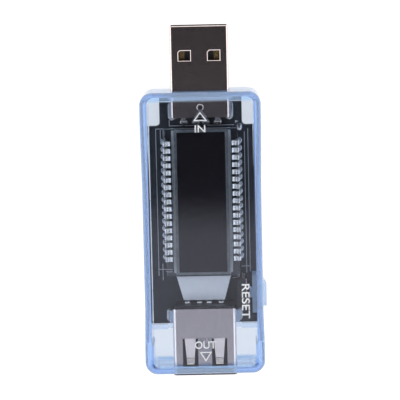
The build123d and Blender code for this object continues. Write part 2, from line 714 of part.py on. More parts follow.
def switch_plunger():
    """Stem that passes the cover plate, with the flange that presses the dome."""
    flange_x = (SWITCH_BODY_X[1] - 0.45, SWITCH_BODY_X[1] - 0.02)
    flange = cylinder_along_x(flange_x, SWITCH_Y, SWITCH_AXIS_Z, 1.4)
    stem_x = (flange_x[0], STEM_TIP_X)
    stem = cylinder_along_x(stem_x, SWITCH_Y, SWITCH_AXIS_Z, STEM_RADIUS)
    return single(flange + stem)


def switch_dome():
    """Thin domed spring between the pocket's floor and the plunger's flange."""
    radius = (DOME_RIM**2 + DOME_RISE**2) / (2 * DOME_RISE)
    ring = Circle(radius) - Circle(radius - DOME_SHEET)
    keep = Pos(DOME_RISE / 2, DOME_RIM) * Rectangle(DOME_RISE, 2 * DOME_RIM)
    section = Pos(DOME_RISE - radius, 0) * ring & keep
    place = Pos(SWITCH_POCKET_FLOOR_X + BUTTON_TOUCH_GAP, SWITCH_Y, SWITCH_AXIS_Z)
    return single(place * revolve(section, Axis.X))


def switch_terminals():
    """The switch's four solder feet, two at each end of its body."""
    feet = []
    for end in (-1, 1):
        for x in (SWITCH_BODY_X[0] + 0.35, SWITCH_BODY_X[1] - 0.35):
            start = SWITCH_Y + end * SWITCH_LENGTH / 2
            y = sorted((start, start + end * 0.7))
            feet.append(block(centred(x, 0.5), y, (BOARD_TOP, BOARD_TOP + 0.25)))
    return feet


def reset_button():
    """Clear button: a cap through the side wall, a flange behind it and a nub on the stem."""
    z = centred(SWITCH_AXIS_Z, BUTTON_HEIGHT)
    cap_y = centred(SWITCH_Y, BUTTON_LENGTH)
    cap = block((BUTTON_FLANGE_X, BUTTON_FACE_X), cap_y, z)
    slope_x, slope_y = BUTTON_SLOPE
    corner = (BUTTON_FACE_X, cap_y[1])
    slope = make_face(
        Polyline(
            corner, (corner[0] - slope_x, corner[1]), (corner[0], corner[1] - slope_y), close=True
        )
    )
    cap -= prism(slope, (0, CASE_THICKNESS))
    face_edges = cap.edges().filter_by(Axis.Y).group_by(Axis.X)[-1]
    cap = fillet(face_edges, 0.35)
    flange_x = (BUTTON_FLANGE_X, BUTTON_FLANGE_X + BUTTON_FLANGE_THICKNESS)
    flange = block(flange_x, centred(SWITCH_Y, BUTTON_FLANGE_LENGTH), z)
    flange = fillet(flange.edges().filter_by(Axis.X), 0.5)
    nub_x = (BUTTON_NUB_X, BUTTON_FLANGE_X + 0.1)
    nub = block(nub_x, centred(SWITCH_Y, BUTTON_NUB_LENGTH), centred(SWITCH_AXIS_Z, 2.0))
    return single(cap + flange + nub)


# ---- parts on the back of the board -------------------------------------------------------

CHIP_STANDOFF = 0.1
CHIP_BOTTOM = BOARD_BOTTOM - CHIP_STANDOFF


def chip_body(x, y, size, height):
    """Moulded chip package hanging under the board, with bevelled lower edges."""
    width, length = size
    z = (CHIP_BOTTOM - height, CHIP_BOTTOM)
    body = block(centred(x, width), centred(y, length), z)
    return single(chamfer(body.faces().sort_by(Axis.Z)[0].edges(), 0.12))


def gull_leads(x, y, size, reach, pitch, count, height, width):
    """Gull-wing leads along both long sides of a chip package, bent up to the board."""
    half = size[0] / 2
    knee_z = CHIP_BOTTOM - height / 2
    sheet = 0.13
    path = [
        (half, knee_z),
        (half + reach * 0.4, knee_z),
        (half + reach * 0.5, BOARD_BOTTOM - sheet / 2),
        (half + reach, BOARD_BOTTOM - sheet / 2),
    ]
    leads = []
    for i in range(count):
        lead_y = y + (i - (count - 1) / 2) * pitch
        plane = Plane((x, lead_y, 0), x_dir=(1, 0, 0), z_dir=(0, -1, 0))
        lead = bent_strip(plane, path, sheet, width, 0.08)
        across = Plane((x, 0, 0), z_dir=(1, 0, 0))
        leads += [single(lead), single(mirror(lead, about=across))]
    return leads


CONTROLLER = {"x": 0.0, "y": 9.0, "size": (7.0, 7.0), "height": 1.35}
MEMORY = {"x": 1.6, "y": -2.6, "size": (3.9, 4.9), "height": 1.35}
REGULATOR = {"x": -2.4, "y": 18.3, "size": (4.5, 2.5), "height": 1.4}


def controller_leads():
    """Leads on all four sides of the square controller chip."""
    chip = CONTROLLER
    sides = gull_leads(0, 0, chip["size"], 1.0, 0.5, 12, chip["height"], 0.22)
    ends = [Rot(0, 0, 90) * lead for lead in sides]
    return [single(Pos(chip["x"], chip["y"], 0) * lead) for lead in sides + ends]


def memory_leads():
    """Four leads on each side of the memory chip."""
    chip = MEMORY
    return gull_leads(chip["x"], chip["y"], chip["size"], 1.05, 1.27, 4, chip["height"], 0.4)


def regulator_leads():
    """The regulator's three feet, and the tab on its far side."""
    chip = REGULATOR
    z = (BOARD_BOTTOM - CHIP_STANDOFF, BOARD_BOTTOM)
    edge = chip["y"] - chip["size"][1] / 2
    feet = [block(centred(chip["x"] + dx, 0.45), (edge - 0.8, edge + 0.3), z) for dx in (-1.5, 0, 1.5)]
    far = chip["y"] + chip["size"][1] / 2
    feet.append(block(centred(chip["x"], 1.7), (far - 0.9, far + 0.6), z))
    return feet


def shunt_resistor():
    """Current-sense resistor in the ground path, close to the receptacle."""
    return block(centred(-2.5, 6.3), centred(-9.6, 3.1), (BOARD_BOTTOM - 0.65, BOARD_BOTTOM))


def chip_row(places, size, height):
    """Small two-ended parts, one at each (x, y) under the board."""
    width, length = size
    z = (BOARD_BOTTOM - height, BOARD_BOTTOM)
    return [block(centred(x, width), centred(y, length), z) for x, y in places]


CAPACITOR_PLACES = [(-5.4, 14.2), (5.2, 18.6), (2.6, 18.6), (-4.6, -1.2), (-4.6, -4.2), (4.6, 3.4)]
RESISTOR_PLACES = [(3.4 + i * 1.4, -9.6) for i in range(3)]
RESISTOR_PLACES += [(-5.6 + i * 1.4, 2.6) for i in range(4)]
RESISTOR_PLACES += [(-5.9, 5.2), (-5.9, 7.4), (5.9, 14.6), (5.9, 12.4)]


# ---- solder -------------------------------------------------------------------------------

def solder_cone(x, y, lead_size):
    """Solder round a lead, under the board."""
    height = 0.55
    cone = Pos(x, y, BOARD_BOTTOM - height / 2) * Cone(0.36, 0.6, height)
    lead = block(centred(x, lead_size[0]), centred(y, lead_size[1]), (0, BOARD_TOP))
    return single(cone - lead)


def solder_slot(x, y, slot, lead_size):
    """Solder round a shell leg, under the board."""
    pad = slot_outline(x, y, (slot[0] + 0.7, slot[1] + 0.7))
    mound = Pos(0, 0, BOARD_BOTTOM) * extrude(pad, -0.6, taper=20)
    lead = block(centred(x, lead_size[0]), centred(y, lead_size[1]), (0, BOARD_TOP))
    return single(mound - lead)


def display_solder():
    """A joint on each display pin."""
    lead = (DISPLAY_PIN_SHEET, DISPLAY_LEG_WIDTH)
    rows = display_pin_rows()
    return [solder_cone(side * DISPLAY_PIN_X, y, lead) for y in rows for side in (-1, 1)]


def connector_solder(tail_y, leg_x, leg_y, slot, leg_size):
    """The joints of one connector: four contact tails and two shell legs."""
    tail = (CONTACT_TAIL_WIDTH, CONTACT_SHEET)
    joints = [solder_cone(x, tail_y, tail) for x in CONTACT_X.values()]
    return joints + [solder_slot(side * leg_x, leg_y, slot, leg_size) for side in (-1, 1)]


def lamp_solder():
    """The joints of the backlight lamp's two leads."""
    return [solder_cone(side * LAMP_LEAD_X, LAMP_Y, (0.4, 0.25)) for side in (-1, 1)]


# ---- every node ---------------------------------------------------------------------------

def all_nodes():
    """Each sub-part by node name: one solid, or a list of alike solids."""
    plug = plug_contacts()
    receptacle = receptacle_contacts()
    pins_left, pins_right = display_pins()
    nodes = {
        "front_cover": front_cover(),
        "back_cover": back_cover(),
        "circuit_board": circuit_board(),
        "plug_shell": plug_shell(),
        "plug_insulator": plug_insulator(plug),
        "receptacle_shell": receptacle_shell(),
        "receptacle_insulator": receptacle_insulator(receptacle),
        "lcd_pins_left": pins_left,
        "lcd_pins_right": pins_right,
        "backlight_light_guide": light_guide(),
        "backlight_reflector": backlight_reflector(),
        "backlight_cover_sheet": backlight_cover_sheet(),
        "backlight_lamp": backlight_lamp(),
        "switch_base": switch_base(),
        "switch_cover": switch_cover(),
        "switch_plunger": switch_plunger(),
        "switch_dome": switch_dome(),
        "switch_terminals": switch_terminals(),
        "reset_button": reset_button(),
        "controller_chip": chip_body(**CONTROLLER),
        "controller_leads": controller_leads(),
        "memory_chip": chip_body(**MEMORY),
        "memory_leads": memory_leads(),
        "regulator_chip": chip_body(**REGULATOR),
        "regulator_leads": regulator_leads(),
        "shunt_resistor": shunt_resistor(),
        "ceramic_capacitors": chip_row(CAPACITOR_PLACES, (1.25, 2.0), 0.85),
        "chip_resistors": chip_row(RESISTOR_PLACES, (0.8, 1.6), 0.45),
        "display_solder_joints": display_solder(),
        "lamp_solder_joints": lamp_solder(),
        "plug_solder_joints": connector_solder(
            PLUG_TAIL_Y, PLUG_LEG_X, PLUG_LEG_Y, PLUG_SLOT, (PLUG_SHEET, PLUG_LEG_LENGTH)
        ),
        "receptacle_solder_joints": connector_solder(
            RECEPTACLE_TAIL_Y,
            RECEPTACLE_LEG_X,
            RECEPTACLE_LEG_Y,
            RECEPTACLE_SLOT,
            (RECEPTACLE_SHEET, 1.4),
        ),
    }
    nodes.update(display_stack())
    nodes.update({f"plug_contact_{name}": solid for name, solid in plug.items()})
    nodes.update({f"receptacle_contact_{name}": solid for name, solid in receptacle.items()})
    return nodes


os.makedirs("parts", exist_ok=True)
for node, shape in all_nodes().items():
    model = Compound(children=shape) if isinstance(shape, list) else shape
    model.label = node
    export_step(model, f"parts/{node}.step")
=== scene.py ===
import math

import bmesh
import bpy
from mathutils import Matrix, Vector


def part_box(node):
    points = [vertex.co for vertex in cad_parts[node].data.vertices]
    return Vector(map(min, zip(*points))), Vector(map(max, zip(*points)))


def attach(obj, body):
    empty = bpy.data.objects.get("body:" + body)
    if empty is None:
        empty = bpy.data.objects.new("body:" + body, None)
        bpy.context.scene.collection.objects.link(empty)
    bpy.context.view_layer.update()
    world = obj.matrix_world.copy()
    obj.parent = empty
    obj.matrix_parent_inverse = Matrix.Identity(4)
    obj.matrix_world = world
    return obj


# Looks of the USB power meter: a material for every CAD node, the printed, soldered and etched
# detail that lies on them, a pale floor, soft light and the camera. Lengths are in millimetres,
# in the frame of the CAD model, unless a name ends in _M, for metres; MM turns one into the other.

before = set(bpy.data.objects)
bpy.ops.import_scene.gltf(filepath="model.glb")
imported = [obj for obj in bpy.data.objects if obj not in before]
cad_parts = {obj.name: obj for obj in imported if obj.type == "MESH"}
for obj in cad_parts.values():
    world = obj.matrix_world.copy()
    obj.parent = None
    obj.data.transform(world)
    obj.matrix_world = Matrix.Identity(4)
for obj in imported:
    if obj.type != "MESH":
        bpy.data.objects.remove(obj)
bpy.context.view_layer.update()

MM = 0.001


def corners(node):
    """Lowest and highest corner of a CAD node."""
    return [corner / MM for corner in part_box(node)]


BOARD_BOTTOM, BOARD_TOP = (corner.z for corner in corners("circuit_board"))

# Where a finish changes along the meter
WALL_FROM_X = 10.75
WALL_FROM_Y = 27.2
WALL_BLEND = 0.5
# the receptacle's lip past this Y is darkened with painted shade
RECEPTACLE_SHADE_FROM_Y = -29.2
CONTACT_MIDDLE_Y = 3.6
CONTACT_GOLD_FROM = 20.6

# Colours and refraction
BLUE_ABSORPTION = (0.075, 0.4625, 0.9625)
BLUE_DENSITY = 78.0
BUTTON_DENSITY = 72.0
POLYCARBONATE_IOR = 1.52
ACRYLIC_IOR = 1.49
NICKEL = (0.71, 0.655, 0.645)
WARM_NICKEL = (0.80, 0.70, 0.67)


# ---- node graphs --------------------------------------------------------------------------

class Graph:
    """Builds the nodes of one material or world: an input may be a value or a socket."""

    def __init__(self, owner):
        owner.use_nodes = True
        self.owner = owner
        self.tree = owner.node_tree
        self.tree.nodes.clear()

    def node(self, kind, sockets=None, **settings):
        made = self.tree.nodes.new("ShaderNode" + kind)
        for name, value in settings.items():
            setattr(made, name, value)
        for name, value in (sockets or {}).items():
            if isinstance(value, bpy.types.NodeSocket):
                self.tree.links.new(value, made.inputs[name])
            else:
                made.inputs[name].default_value = value
        return made

    def place(self, stretch=(1, 1, 1)):
        """Object coordinates in millimetres, stretched along each axis."""
        where = self.node("TexCoord").outputs["Object"]
        scale = tuple(s / MM for s in stretch)
        return self.node("Mapping", {"Vector": where, "Scale": scale}).outputs["Vector"]

    def axis(self, vector, index):
        return self.node("SeparateXYZ", {0: vector}).outputs[index]

    def noise(self, size, detail=3.0, stretch=(1, 1, 1)):
        """Noise whose blotches are about size across."""
        sockets = {"Vector": self.place(stretch), "Scale": 1 / size, "Detail": detail}
        return self.node("TexNoise", sockets).outputs["Fac"]

    def bands(self, direction):
        """Soft ridges, one for each thread of glass cloth."""
        sockets = {"Vector": self.place(), "Scale": 0.62, "Distortion": 0.4}
        return self.node("TexWave", sockets, bands_direction=direction).outputs["Fac"]

    def ramp(self, factor, *stops):
        """Value or colour that follows factor through (position, colour) stops."""
        made = self.node("ValToRGB", {"Fac": factor})
        elements = made.color_ramp.elements
        while len(elements) < len(stops):
            elements.new(0.5)
        for element, (position, colour) in zip(elements, stops):
            rgb = colour if isinstance(colour, tuple) else (colour,) * 3
            element.position = position
            element.color = (*rgb, 1)
        return made.outputs["Color"]

    def patches(self, size, low, high):
        """Value or colour that drifts between two in blotches of about size."""
        return self.ramp(self.noise(size), (0.3, low), (0.7, high))

    def math(self, operation, a, b=0.0):
        return self.node("Math", {0: a, 1: b}, operation=operation).outputs[0]

    def mix(self, factor, a, b):
        return self.node("Mix", {0: factor, 6: a, 7: b}, data_type="RGBA").outputs[2]

    def bump(self, height, depth):
        """Normal from a height map of the given depth."""
        return self.node("Bump", {"Height": height, "Distance": depth * MM}).outputs["Normal"]

    def finish(self, sockets, absorption=None):
        """Closes a material with one shader, and with absorption as (colour, density)."""
        shader = self.node("BsdfPrincipled", sockets).outputs["BSDF"]
        out = {"Surface": shader}
        if absorption:
            colour, density = absorption
            volume = self.node("VolumeAbsorption", {"Color": (*colour, 1), "Density": density})
            out["Volume"] = volume.outputs["Volume"]
        self.node("OutputMaterial", out)
        return self.owner


def new_graph(name):
    return Graph(bpy.data.materials.new(name))


# ---- materials ----------------------------------------------------------------------------

def clear_shell():
    """Light blue polycarbonate: polished broad faces, and walls that are slightly cloudy."""
    g = new_graph("blue_clear_shell")
    place = g.place()
    beside = g.math("SUBTRACT", g.math("ABSOLUTE", g.axis(place, 0)), WALL_FROM_X)
    beyond = g.math("SUBTRACT", g.math("ABSOLUTE", g.axis(place, 1)), WALL_FROM_Y)
    wall = g.math("MAXIMUM", beside, beyond)
    cloud = g.math("MULTIPLY", g.noise(1.2), 0.08)
    tint = g.ramp(wall, (0.0, 1.0), (WALL_BLEND, (0.58, 0.77, 1.0)))
    drift = g.math("MULTIPLY", g.noise(3.0), 0.06)
    return g.finish(
        {
            "Base Color": g.mix(drift, tint, (0.9, 0.95, 1.0, 1)),
            "Roughness": 0.01,
            "IOR": POLYCARBONATE_IOR,
            "Transmission Weight": g.ramp(
                g.math("SUBTRACT", wall, cloud), (0.0, 1.0), (WALL_BLEND, 0.80)
            ),
            "Normal": g.bump(g.noise(1.6, 2.0), 0.0015),
        },
        absorption=(BLUE_ABSORPTION, BLUE_DENSITY),
    )


def milky_button():
    """The button's plastic: the same blue, frosted."""
    g = new_graph("blue_milky_button")
    return g.finish(
        {
            "Base Color": g.patches(1.0, (0.72, 0.84, 1.0), (0.78, 0.89, 1.0)),
            "Roughness": 0.3,
            "IOR": POLYCARBONATE_IOR,
            "Transmission Weight": 0.7,
            "Normal": g.bump(g.noise(0.3), 0.003),
        },
        absorption=(BLUE_ABSORPTION, BUTTON_DENSITY),
    )


def clear_guide():
    """Acrylic light guide, almost clear."""
    g = new_graph("light_guide_acrylic")
    return g.finish(
        {
            "Base Color": g.patches(2.0, (0.95, 0.96, 0.97), (1.0, 1.0, 1.0)),
            "Roughness": 0.03,
            "IOR": ACRYLIC_IOR,
            "Transmission Weight": 1.0,
            "Normal": g.bump(g.noise(0.6), 0.002),
        }
    )


def glass():
    """Display glass with polished faces."""
    g = new_graph("display_glass_plate")
    return g.finish(
        {
            "Base Color": g.patches(5.0, (0.955, 0.975, 0.975), (0.98, 0.99, 0.99)),
            "Roughness": 0.0,
            "IOR": 1.52,
            "Transmission Weight": 1.0,
            "Normal": g.bump(g.noise(4.0, 1.0), 0.001),
        }
    )


def polariser():
    """Dark polarising film with a faint orange-peel gloss."""
    g = new_graph("polarising_film_dark")
    return g.finish(
        {
            "Base Color": g.patches(1.5, (0.006, 0.005, 0.008), (0.009, 0.008, 0.011)),
            "Roughness": g.patches(0.8, 0.05, 0.08),
            "IOR": 1.5,
            "Normal": g.bump(g.noise(0.5, 2.0), 0.0002),
        }
    )


def board_laminate():
    """Black solder mask over glass cloth, with bare brown-black laminate at the sides."""
    g = new_graph("board_black_mask")
    cloth = g.math("MULTIPLY", g.bands("X"), g.bands("Y"))
    mask = g.patches(1.1, (0.013, 0.016, 0.023), (0.021, 0.026, 0.036))
    upright = g.math("ABSOLUTE", g.axis(g.node("NewGeometry").outputs["Normal"], 2))
    flat = g.ramp(upright, (0.4, 0.0), (0.6, 1.0))
    return g.finish(
        {
            "Base Color": g.mix(flat, (0.045, 0.036, 0.028, 1), mask),
            "Roughness": g.patches(0.4, 0.34, 0.46),
            "Normal": g.bump(g.math("ADD", cloth, g.noise(0.25)), 0.003),
        }
    )


def metal(name, colour, roughness, grain, depth, blotch=0.9):
    """Bare or plated metal: blotches of tone, fine grain, and gloss that varies."""
    g = new_graph(name)
    darker = tuple(c * 0.80 for c in colour)
    fine = g.noise(grain, 4.0)
    blotches = g.noise(blotch)
    gloss = g.math("ADD", g.math("MULTIPLY", fine, 0.5), g.math("MULTIPLY", blotches, 0.5))
    low, high = roughness
    return g.finish(
        {
            "Base Color": g.ramp(blotches, (0.3, darker), (0.7, colour)),
            "Metallic": 1.0,
            "Roughness": g.ramp(gloss, (0.35, low), (0.65, high)),
            "Normal": g.bump(fine, depth),
        }
    )


def receptacle_nickel():
    """Nickel brushed along the receptacle; painted shade darkens the cut lip that stands past the
    case.
    """
    g = new_graph("nickel_brushed")
    y = g.axis(g.place(), 1)
    # painted shade: past this Y the receptacle turns near black, standing in for the shadow on its
    # cut end
    painted_lip_shade = g.ramp(g.math("SUBTRACT", RECEPTACLE_SHADE_FROM_Y, y), (0.0, 0.0), (0.1, 1.0))
    brushing = g.noise(0.3, 4.0, (1, 0.05, 1))
    tone = g.ramp(brushing, (0.3, tuple(c * 0.94 for c in NICKEL)), (0.7, NICKEL))
    return g.finish(
        {
            # the near-black colour on the lip is painted shade, not the nickel's own tone
            "Base Color": g.mix(painted_lip_shade, tone, (0.09, 0.085, 0.10, 1)),
            "Metallic": 1.0,
            "Roughness": g.ramp(brushing, (0.3, 0.16), (0.7, 0.24)),
            "Normal": g.bump(brushing, 0.0005),
        }
    )


def contact_plating():
    """Spring contacts: gold on the working length, tin on the tails in the board."""
    g = new_graph("contact_gold_and_tin")
    y = g.axis(g.place(), 1)
    away = g.math("ABSOLUTE", g.math("SUBTRACT", y, CONTACT_MIDDLE_Y))
    gilded = g.ramp(g.math("SUBTRACT", away, CONTACT_GOLD_FROM), (0.0, 0.0), (0.2, 1.0))
    fine = g.noise(0.06, 4.0)
    gold = g.ramp(fine, (0.3, (0.83, 0.58, 0.24)), (0.7, (0.98, 0.74, 0.36)))
    tin = g.ramp(fine, (0.3, (0.62, 0.62, 0.63)), (0.7, (0.78, 0.78, 0.78)))
    return g.finish(
        {
            "Base Color": g.mix(gilded, tin, gold),
            "Metallic": 1.0,
            "Roughness": g.patches(0.3, 0.10, 0.20),
            "Normal": g.bump(fine, 0.0006),
        }
    )


def moulded(name, dark, light, roughness, grain=0.12, depth=0.004):
    """Opaque moulded plastic, paint, paper or ceramic with a fine grain."""
    g = new_graph(name)
    return g.finish(
        {
            "Base Color": g.patches(0.9, dark, light),
            "Roughness": g.patches(0.5, roughness * 0.9, roughness * 1.1),
            "Normal": g.bump(g.noise(grain), depth),
        }
    )


finishes = {
    "clear_blue_plastic": clear_shell(),
    "circuit_laminate": board_laminate(),
    "plated_steel": metal(
        "nickel_plated_steel", WARM_NICKEL, (0.07, 0.15), 0.07, 0.0009, blotch=0.22
    ),
    "gold_contact": contact_plating(),
    "tinned_copper": metal("tin_plating", (0.84, 0.84, 0.84), (0.20, 0.34), 0.08, 0.002),
    "solder": metal("solder_alloy", (0.56, 0.56, 0.57), (0.14, 0.28), 0.2, 0.003),
    "black_plastic": moulded("black_moulding", (0.012, 0.012, 0.014), (0.022, 0.022, 0.024), 0.5),
    "display_glass": glass(),
    "polarising_film": polariser(),
    "light_guide_plastic": clear_guide(),
    "white_film": moulded(
        "white_sheet", (0.86, 0.89, 0.94), (0.90, 0.93, 0.97), 0.55, 0.4, 0.002
    ),
    "lamp_resin": moulded("lamp_white_resin", (0.72, 0.70, 0.60), (0.80, 0.79, 0.70), 0.4),
    "capacitor_ceramic": moulded("fired_ceramic", (0.34, 0.24, 0.15), (0.42, 0.30, 0.19), 0.45),
    "spring_steel": metal("spring_steel_sheet", (0.66, 0.66, 0.66), (0.2, 0.35), 0.08, 0.001),
}
own_finishes = {"receptacle_shell": receptacle_nickel(), "reset_button": milky_button()}

for name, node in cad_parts.items():
    slot = node.data.materials[0].name
    node.material_slots[0].material = own_finishes.get(name, finishes[slot])


# ---- shapes -------------------------------------------------------------------------------

def add_loops(bm, loops, closed=False):
    """Skin over outlines of equal length, each an (outline, height) pair, from one to the next.

    An open skin is capped at its two ends; a closed one runs on from the last to the first.
    """
    rings = [[bm.verts.new((x * MM, y * MM, z * MM)) for x, y in line] for line, z in loops]
    count = len(rings[0])
    pairs = list(zip(rings, rings[1:]))
    if closed:
        pairs.append((rings[-1], rings[0]))
    else:
        bm.faces.new(rings[0][::-1])
        bm.faces.new(rings[-1])
    for a, b in pairs:
        for i in range(count):
            j = (i + 1) % count
            bm.faces.new((a[i], a[j], b[j], b[i]))


def add_prism(bm, outline, z, hole=None):
    """Closed solid between two heights, from an outline or the ring between two outlines."""
    low, high = z
    if hole is None:
        add_loops(bm, [(outline, low), (outline, high)])
    else:
        add_loops(bm, [(outline, low), (outline, high), (hole, high), (hole, low)], True)


def oval(x, y, half_width, half_length, count=32):
    """Outline with round ends, long along Y; a circle where both halves are equal."""
    points = []
    for i in range(count):
        angle = math.tau * (i + 0.5) / count
        shift = math.copysign(half_length - half_width, math.sin(angle))
        points.append((x + half_width * math.cos(angle), y + shift + half_width * math.sin(angle)))
    return points


def rectangle(x, y):
    """Outline from the (low, high) limits in x and y."""
    return [(x[0], y[0]), (x[1], y[0]), (x[1], y[1]), (x[0], y[1])]


def offset_line(points, shift, closed=False):
    """The line moved sideways by shift, with mitred corners."""
    moved = []
    count = len(points)
    for i, point in enumerate(points):
        before = points[i - 1] if closed or i > 0 else None
        after = points[(i + 1) % count] if closed or i < count - 1 else None
        normals = []
        for a, b in ((before, point), (point, after)):
            if a is not None and b is not None:
                along = (Vector(b) - Vector(a)).normalized()
                normals.append(Vector((along.y, -along.x)))
        middle = sum(normals, Vector((0, 0))).normalized()
        reach = shift / middle.dot(normals[0])
        moved.append(tuple(Vector(point) + middle * reach))
    return moved


def add_line(bm, points, width, z):
    """Flat strip of one width along an open line."""
    right = offset_line(points, width / 2)
    left = offset_line(points, -width / 2)
    for i in range(len(points) - 1):
        add_prism(bm, [right[i], right[i + 1], left[i + 1], left[i]], z)


def add_frame(bm, points, width, z):
    """Flat strip of one width round a closed outline given anticlockwise."""
    outer = offset_line(points, width / 2, True)
    inner = offset_line(points, -width / 2, True)
    add_prism(bm, outer, z, inner)


def add_text(bm, text, x, y, z, turned=False):
    """Plain lettering that fills the box given by the (low, high) limits in x and y."""
    curve = bpy.data.curves.new("lettering", "FONT")
    curve.body = text
    curve.extrude = 0.5
    curve.offset = 0.012
    holder = bpy.data.objects.new("lettering", curve)
    bpy.context.scene.collection.objects.link(holder)
    graph = bpy.context.evaluated_depsgraph_get()
    mesh = bpy.data.meshes.new_from_object(holder.evaluated_get(graph))
    bpy.data.objects.remove(holder)
    along = (y[1], y[0]) if turned else x
    across = x if turned else y
    low = [min(v.co[axis] for v in mesh.vertices) for axis in range(2)]
    high = [max(v.co[axis] for v in mesh.vertices) for axis in range(2)]
    for vertex in mesh.vertices:
        share = [(vertex.co[i] - low[i]) / (high[i] - low[i]) for i in range(2)]
        first = along[0] + (along[1] - along[0]) * share[0]
        second = across[0] + (across[1] - across[0]) * share[1]
        place = (second, first) if turned else (first, second)
        height = z[0] + (z[1] - z[0]) * (vertex.co.z + 0.5)
        vertex.co = (place[0] * MM, place[1] * MM, height * MM)
    bm.from_mesh(mesh)
    bpy.data.meshes.remove(mesh)


def solids_of(node):
    """Lowest and highest corner of each separate solid of a CAD node."""
    bm = bmesh.new()
    bm.from_mesh(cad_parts[node].data)
    bmesh.ops.remove_doubles(bm, verts=bm.verts, dist=1e-7)
    left = set(bm.verts)
    boxes = []
    while left:
        group = [left.pop()]
        for vertex in group:
            for edge in vertex.link_edges:
                other = edge.other_vert(vertex)
                if other in left:
                    left.remove(other)
                    group.append(other)
        low = [min(v.co[axis] for v in group) / MM for axis in range(3)]
        high = [max(v.co[axis] for v in group) / MM for axis in range(3)]
        boxes.append((low, high))
    bm.free()
    return sorted(boxes)


def new_piece(name, bm, material):
    """Makes the collected shapes one object that rides on the meter's fixed body."""
    bmesh.ops.recalc_face_normals(bm, faces=bm.faces)
    mesh = bpy.data.meshes.new(name)
    bm.to_mesh(mesh)
    bm.free()
    mesh.materials.append(material)
    piece = bpy.data.objects.new(name, mesh)
    bpy.context.scene.collection.objects.link(piece)
    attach(piece, "meter")


# ---- print on the front cover -------------------------------------------------------------

# Height of the ink, just under the cover's front face
PRINT_Z = (11.955, 11.985)
ARROW_WIDTH = 0.22
IN_ARROW = [(-1.2, 23.6), (1.2, 23.6), (0.0, 25.2)]
OUT_ARROW = [(0.17, -26.2), (1.25, -24.47), (-0.92, -24.47)]


def front_labels():
    """Generic words and arrows, in a plain face."""
    ink = bmesh.new()
    add_frame(ink, IN_ARROW, ARROW_WIDTH, PRINT_Z)
    add_text(ink, "IN", (-1.14, 1.04), (21.14, 22.63), PRINT_Z)
    add_text(ink, "OUT", (-2.07, 2.32), (-23.7, -22.13), PRINT_Z)
    add_frame(ink, OUT_ARROW, ARROW_WIDTH, PRINT_Z)
    add_text(ink, "RESET", (7.79, 9.43), (-17.51, -10.31), PRINT_Z, turned=True)
    white = moulded("white_ink", (0.90, 0.92, 0.94), (0.94, 0.95, 0.96), 0.6, 0.05, 0.002)
    new_piece("front_labels", ink, white)


# ---- the board: solder, pads, print and tracks --------------------------------------------

# Where the leads come through the board
PIN_X = 7.72
PIN_ROWS = [6.5 + (i - 8) * 1.5 for i in range(17)]
TAIL_X = (-3.5, -1.0, 1.0, 3.5)
TAIL_ROWS = (22.5, -14.75)

# Pads as (x, y, radius, half the length of the straight stretch)
PADS = [(side * PIN_X, y, 0.70, 0.0) for side in (-1, 1) for y in PIN_ROWS]
PADS += [(x, y, 0.76, 0.0) for y in TAIL_ROWS for x in TAIL_X]
PADS += [(side * 5.85, 24.87, 0.87, 1.05) for side in (-1, 1)]
PADS += [(side * 7.2, -17.9, 0.70, 0.65) for side in (-1, 1)]

# Section of a soldered pad from its rim to the lead, as (way in, height) pairs
SOLDER_SECTION = [(0.0, 0.0), (0.03, 0.03), (0.11, 0.055), (0.35, 0.07), (0.47, 0.16), (0.52, 0.30)]
SOLDER_TOP_RADIUS = 0.17
PAD_HEIGHT = 0.035
PAD_BORDER = 0.06
PAD_HOLE = 0.41

# Solder blob beside the plug, as (half width, half length, height)
BLOB_X = 7.95
BLOB_Y = 21.35
BLOB_SECTION = [(0.62, 0.8, 0.0), (0.5, 0.68, 0.14), (0.2, 0.3, 0.22)]

INK_Z = (BOARD_TOP + 0.001, BOARD_TOP + 0.02)
INK_WIDTH = 0.13
INK_LINES = [
    [(-9.35, 21.2), (-9.35, -9.6)],
    [(-8.4, 21.0), (-8.4, 19.0)],
    [(-7.8, 21.0), (-7.8, 19.4)],
    [(-8.5, -7.0), (-8.5, -10.6)],
    [(-9.35, -8.2), (-6.5, -8.2)],
    [(-7.9, -8.7), (-6.5, -8.7)],
    [(-9.35, 21.2), (-0.9, 21.2)],
    [(0.9, 21.2), (7.2, 21.2)],
    [(-6.5, 23.0), (-6.5, 21.8), (-1.4, 21.8)],
    [(1.4, 21.8), (6.9, 21.8)],
    [(8.95, 20.4), (8.95, -9.2)],
    [(9.68, 21.0), (9.68, -9.0)],
    [(7.9, -7.8), (9.68, -7.8)],
    [(6.0, -10.2), (8.0, -10.2), (8.0, -9.2)],
]
INK_ARROW = [(7.1, 22.2), (7.8, 22.5), (7.1, 22.8)]

TRACK_HEIGHT = 0.025
TRACK_ROOT = 0.01
TRACK_TOP_Z = (BOARD_TOP - TRACK_ROOT, BOARD_TOP + TRACK_HEIGHT)
TRACK_LOW_Z = (BOARD_BOTTOM - TRACK_HEIGHT, BOARD_BOTTOM + TRACK_ROOT)
SIDE_TRACK_WIDTH = 0.12
CORNER_TRACK_WIDTH = 0.16
SIGNAL_TRACK_WIDTH = 0.14
POWER_TRACK_WIDTH = 0.9
CONTROLLER_LEADS = 12
CONTROLLER_MIDDLE_Y = 9.0
CONTROLLER_PITCH = 0.5


def solder_on_top():
    """Solder on every lead, on the display's side: a pad and a fillet that climbs the lead."""
    solder = bmesh.new()
    for x, y, radius, straight in PADS:
        loops = []
        for inset, height in SOLDER_SECTION:
            half_width = max(radius - inset, SOLDER_TOP_RADIUS)
            loops.append((oval(x, y, half_width, half_width + straight), BOARD_TOP + height))
        add_loops(solder, loops)
    blob = []
    for half_width, half_length, height in BLOB_SECTION:
        blob.append((oval(BLOB_X, BLOB_Y, half_width, half_length), BOARD_TOP + height))
    add_loops(solder, blob)
    new_piece("solder_on_top", solder, finishes["solder"])


